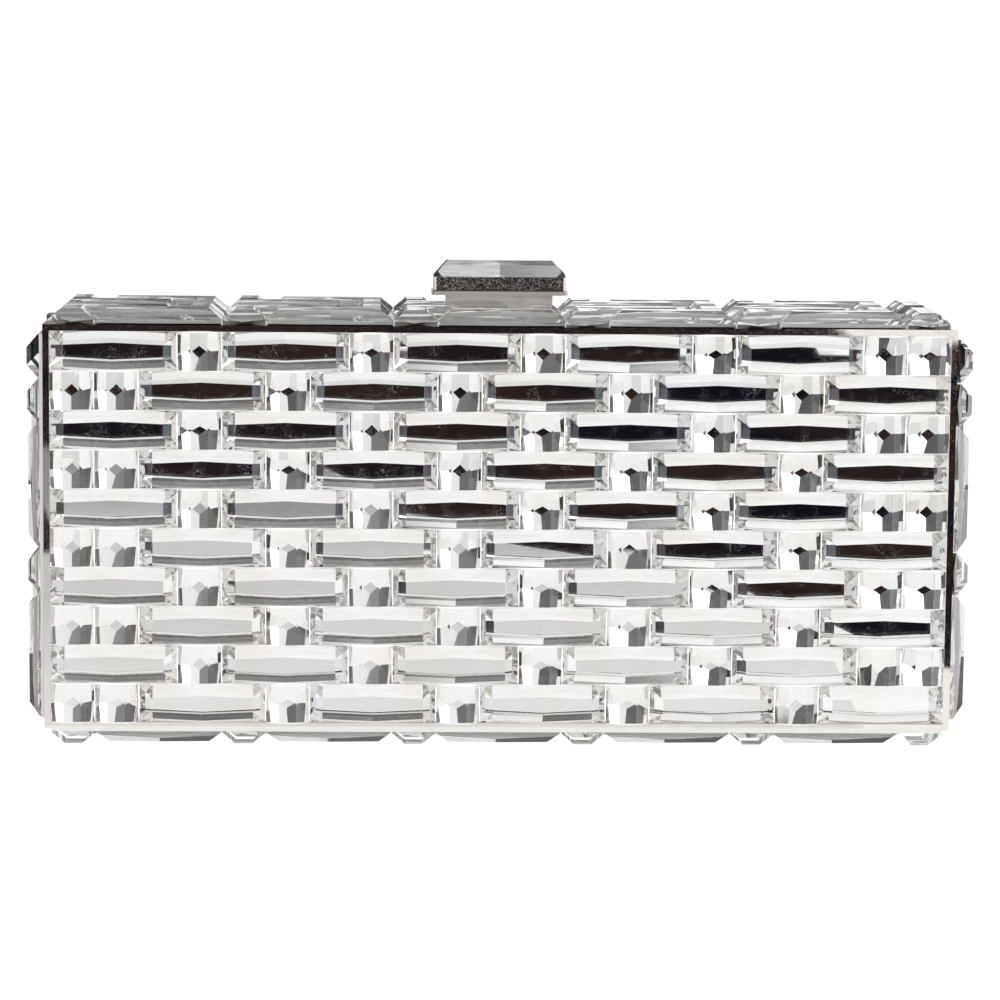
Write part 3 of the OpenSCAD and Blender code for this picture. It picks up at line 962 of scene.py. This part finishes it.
class MINAUDIERE_OT_stage(bpy.types.Operator):
    """Lay the pale floor and set the soft studio light"""

    bl_idname = "minaudiere.stage"
    bl_label = "Stage"

    def execute(self, context):
        sizes = context.scene.minaudiere_stage
        floor_z = sizes.floor_z
        bpy.ops.object.select_all(action="DESELECT")
        bpy.ops.mesh.primitive_plane_add(size=sizes.floor_size, location=(0, 0, floor_z))
        floor = context.object
        floor.name = "floor"
        material, graph = new_material("pale_floor")
        paint = graph.principled(
            {
                "Base Color": (0.15, 0.15, 0.15, 1),
                "Roughness": 0.9,
                "Emission Color": (1, 1, 1, 1),
                "Emission Strength": 0.96,
            }
        )
        graph.output(paint)
        dress(floor, material)
        bpy.ops.object.transform_apply(location=True, rotation=True, scale=True)

        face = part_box("front_face_long_crystals")[0].y
        for name, (outline, lift, low_colour, high_colour) in CARDS.items():
            corners = [Vector((x * MM, face - s * MM, floor_z + lift * MM)) for x, s in outline]
            self.card(name, corners, low_colour, high_colour)

        self.softbox("right_softbox", place=(1.1, -1.1, 0.6), aim=(0, 0, 0.04), width=1.3, height=0.9, radiance=1.4)
        self.softbox("top_softbox", place=(0.7, 0.3, 1.5), aim=(0, 0, 0), width=0.8, height=0.8, radiance=1.1)
        self.studio()
        context.scene.view_settings.view_transform = "Standard"
        for bounces in ("max_bounces", "glossy_bounces", "transmission_bounces"):
            setattr(context.scene.cycles, bounces, BOUNCES)
        return {"FINISHED"}

    def card(self, name, corners, low_colour, high_colour):
        """A softly mottled card that only reflections show."""
        mesh = bpy.data.meshes.new(name)
        mesh.from_pydata(corners, [], [list(range(len(corners)))])
        obj = bpy.data.objects.new(name, mesh)
        bpy.context.scene.collection.objects.link(obj)
        material, graph = new_material(name)
        spot = graph.place()
        tone = graph.noise(spot, 0.006, 2.0).rise(0.35, 0.65)
        if name == "grey_card":
            tone = tone * 0.1 + spot.part(1).rise(*FAR_FADE) * 0.6 + spot.part(1).rise(*NEAR_FADE) * 0.3
        light = graph.add("ShaderNodeEmission", {}, {"Color": graph.mix(tone, low_colour, high_colour)})
        graph.output(light)
        dress(obj, material)
        for ray in ("visible_camera", "visible_diffuse", "visible_shadow"):
            setattr(obj, ray, False)

    def softbox(self, name, place, aim, width, height, radiance):
        """A rectangular lamp that points from its place towards its aim."""
        data = bpy.data.lights.new(name, "AREA")
        data.shape = "RECTANGLE"
        data.size, data.size_y = width, height
        data.energy = radiance * math.pi * width * height
        lamp = bpy.data.objects.new(name, data)
        bpy.context.scene.collection.objects.link(lamp)
        way = Vector(aim) - Vector(place)
        turn = way.to_track_quat("-Z", "Y").to_matrix().to_4x4()
        lamp.matrix_world = Matrix.Translation(place) @ turn
        lamp.visible_camera = False

    def studio(self):
        """White for the camera. Reflections see a pale band above the horizon and, behind, a bright right side."""
        world = bpy.data.worlds.new("studio")
        bpy.context.scene.world = world
        graph = Graph(world)
        way = graph.add("ShaderNodeTexCoord", {}, {}, "Generated")
        right, depth, height = (way.part(axis) for axis in (0, 1, 2))
        stretched = graph.add("ShaderNodeMapping", {}, {"Vector": way, "Scale": (3, 3, 16)})
        streak = graph.noise(stretched, 1.0, 3.0).rise(0.3, 0.7)
        front = depth.rise(0.05, -0.05)
        aside = right / (abs(depth) + 0.001)
        left = aside.rise(-0.3, -0.36)
        low = height.rise(*HORIZON)
        band = low * (1 - height.rise(*BAND_TOP)) * (1 - left * 0.85)
        grey = streak * 0.08 + 0.07 + height.rise(0.585, 0.63) * 0.12
        sides = aside.rise(0.03, 0.09) * 0.9 + left * 0.12
        ahead = band * 0.95 + (1 - band) * low * (grey + sides)
        patch = right.rise(-0.03, 0.03) * (1 - right.rise(0.3, 0.5) * 0.65)
        behind = band * (patch * 0.9 + 0.25) + (1 - band) * low * (streak * 0.4 + patch * 0.6 + 0.1)
        ceiling = height.rise(*CEILING)
        level = (front * ahead + (1 - front) * behind) * (1 - ceiling)
        level = level + ceiling * (patch * 1.05 + 0.25) + 0.02
        level = level * (1 - right.rise(-0.45, -0.75) * 0.5)
        plain = graph.add("ShaderNodeBackground", {}, {"Color": (1, 1, 1, 1), "Strength": 1.05})
        light = graph.add("ShaderNodeBackground", {}, {"Color": (0.97, 0.985, 1, 1), "Strength": level})
        seen = graph.add("ShaderNodeLightPath", {}, {}, "Is Camera Ray")
        shown = graph.add("ShaderNodeMixShader", {}, {0: seen, 1: light, 2: plain})
        graph.output(shown, "ShaderNodeOutputWorld")


class MINAUDIERE_PT_panel(bpy.types.Panel):
    """The crystals, metal, lining and stage of the minaudiere"""

    bl_idname = "MINAUDIERE_PT_panel"
    bl_label = "Minaudiere"
    bl_space_type = "VIEW_3D"
    bl_region_type = "UI"
    bl_category = "Minaudiere"

    def draw(self, context):
        for group, kind in GROUPS:
            box = self.layout.box()
            settings = getattr(context.scene, group)
            for prop in settings.bl_rna.properties:
                if prop.identifier not in ("rna_type", "name"):
                    box.prop(settings, prop.identifier)
        for step in STEPS:
            self.layout.operator(step.bl_idname)


GROUPS = (
    ("minaudiere_stones", StoneSizes),
    ("minaudiere_case", CaseSizes),
    ("minaudiere_finishes", Finishes),
    ("minaudiere_stage", StageSizes),
)
STEPS = (
    MINAUDIERE_OT_camera,
    MINAUDIERE_OT_crystals,
    MINAUDIERE_OT_cement,
    MINAUDIERE_OT_bar,
    MINAUDIERE_OT_lining,
    MINAUDIERE_OT_metal,
    MINAUDIERE_OT_stage,
)


def register():
    for name, kind in GROUPS:
        bpy.utils.register_class(kind)
        setattr(bpy.types.Scene, name, PointerProperty(type=kind))
    for kind in (*STEPS, MINAUDIERE_PT_panel):
        bpy.utils.register_class(kind)


def unregister():
    for kind in (MINAUDIERE_PT_panel, *reversed(STEPS)):
        bpy.utils.unregister_class(kind)
    for name, kind in reversed(GROUPS):
        delattr(bpy.types.Scene, name)
        bpy.utils.unregister_class(kind)


def main():
    register()
    for step in STEPS:
        group, word = step.bl_idname.split(".")
        getattr(getattr(bpy.ops, group), word)()


if __name__ == "__main__":
    main()
